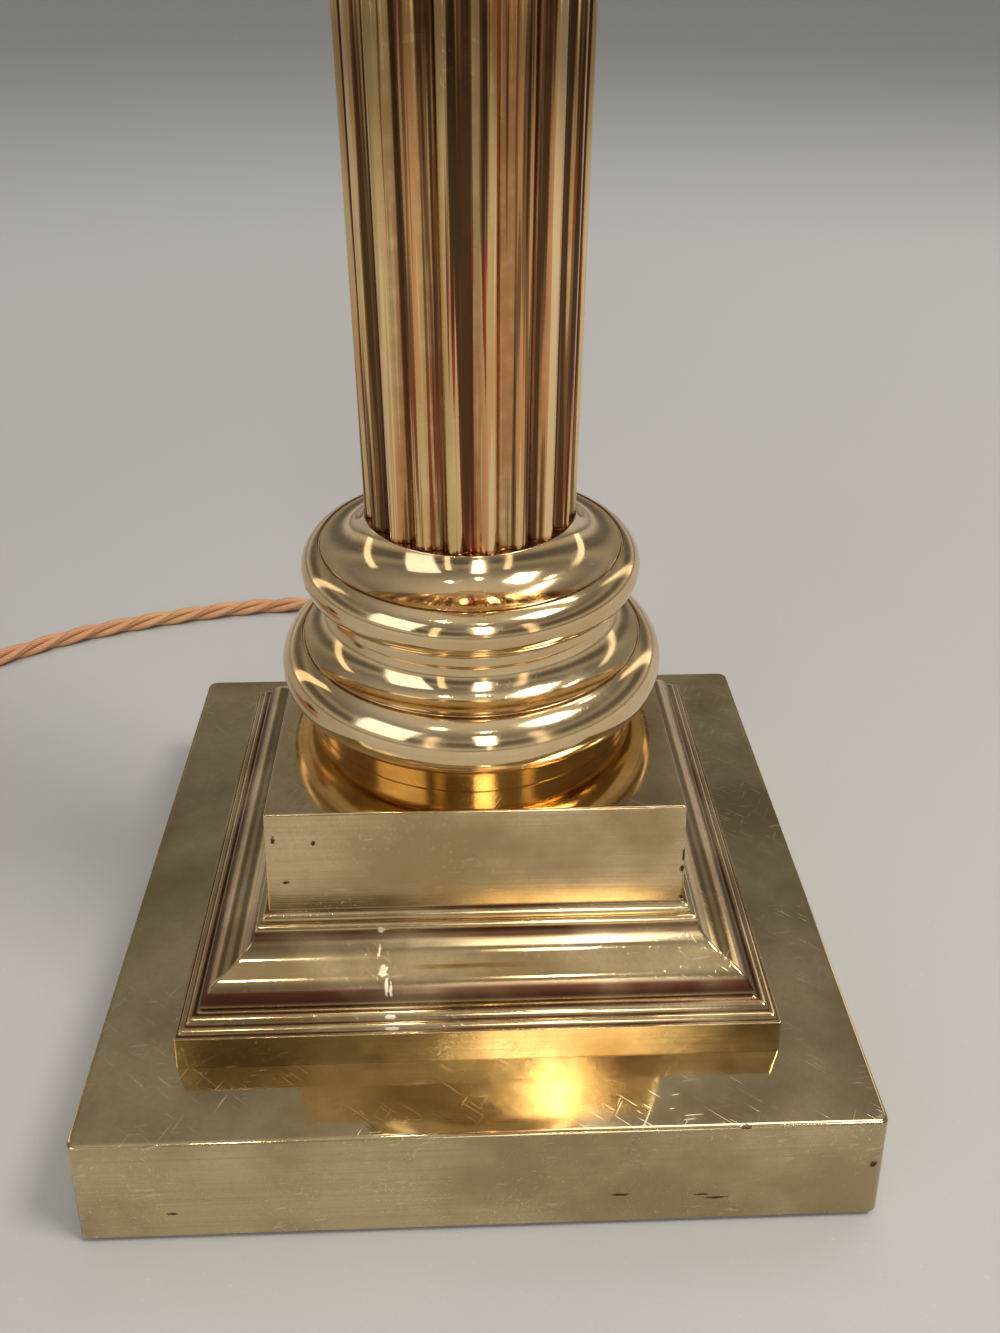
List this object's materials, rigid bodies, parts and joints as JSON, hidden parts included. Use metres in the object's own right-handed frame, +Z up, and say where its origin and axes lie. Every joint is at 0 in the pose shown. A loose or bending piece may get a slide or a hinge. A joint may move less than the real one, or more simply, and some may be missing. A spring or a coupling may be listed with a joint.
{
  "type": "column table lamp",
  "caption": "Brass column table lamp: stepped square base, turned base ring, fluted tube, leafed capital, bayonet lampholder with push bar switch, twisted flex and plug.",
  "frame": {"origin": "centre of the square base on the table", "axes": "+Z up along the column, -Y the front, +Y the side where the flex leaves"},
  "size_m": [0.4383, 0.2952, 0.532],
  "materials": {
    "brass_satin": "brushed, slightly aged",
    "brass_polished": "polished",
    "brass_tube": "polished, tarnished in the flutes",
    "brass_gold": "lacquered",
    "brass_cast": "cast and polished",
    "steel": "zinc plated",
    "felt": "baize",
    "porcelain": "glazed",
    "black_plastic": "moulded",
    "brown_plastic": "moulded",
    "silk_flex": "braided silk, three twisted cores"
  },
  "bodies": {
    "lamp": {"felt_pad": "felt", "base_plate": "steel", "plate_screws": "steel", "base_slab": "brass_satin", "flex_grip": "steel", "plinth": "brass_satin", "seat_ring": "brass_gold", "column_base": "brass_polished", "column_shaft": "brass_tube", "capital_bell": "brass_polished", "lower_leaves": "brass_cast", "upper_leaves": "brass_cast", "corner_volutes": "brass_cast", "capital_abacus": "brass_cast", "abacus_flowers": "brass_cast", "top_cap": "brass_polished", "tie_rod": "steel", "rod_washer": "steel", "rod_nut": "steel", "holder_cap": "brass_polished", "union_ring": "brass_polished", "holder_barrel": "brass_polished", "holder_insulator": "porcelain", "left_spring": "steel", "right_spring": "steel", "terminal_screws": "brass_gold", "flex_bush": "brown_plastic", "flex_free": "silk_flex", "flex_coil": "silk_flex", "flex_tail": "silk_flex", "flex_inside": "silk_flex", "plug_cover": "brown_plastic", "plug_base": "brown_plastic", "plug_pins": "brass_gold", "plug_screw": "steel"},
    "left_contact": {"left_plunger": "brass_gold"},
    "right_contact": {"right_plunger": "brass_gold"},
    "shade_ring": {"shade_ring": "brass_polished"},
    "switch_bar": {"switch_bar": "black_plastic"}
  },
  "joints": [
    {"name": "left_contact_press", "type": "slide", "parent": "lamp", "child": "left_contact", "axis": [0, 0, 1], "range_m": [-0.003, 0], "stiffness_N_per_m": 1500, "deforming": ["left_spring"]},
    {"name": "right_contact_press", "type": "slide", "parent": "lamp", "child": "right_contact", "axis": [0, 0, 1], "range_m": [-0.003, 0], "stiffness_N_per_m": 1500, "deforming": ["right_spring"]},
    {"name": "shade_ring_travel", "type": "slide", "parent": "lamp", "child": "shade_ring", "axis": [0, 0, 1], "range_m": [0, 0.012]},
    {"name": "switch_push", "type": "slide", "parent": "lamp", "child": "switch_bar", "axis": [1, 0, 0], "range_m": [-0.0025, 0.0025]}
  ]
}
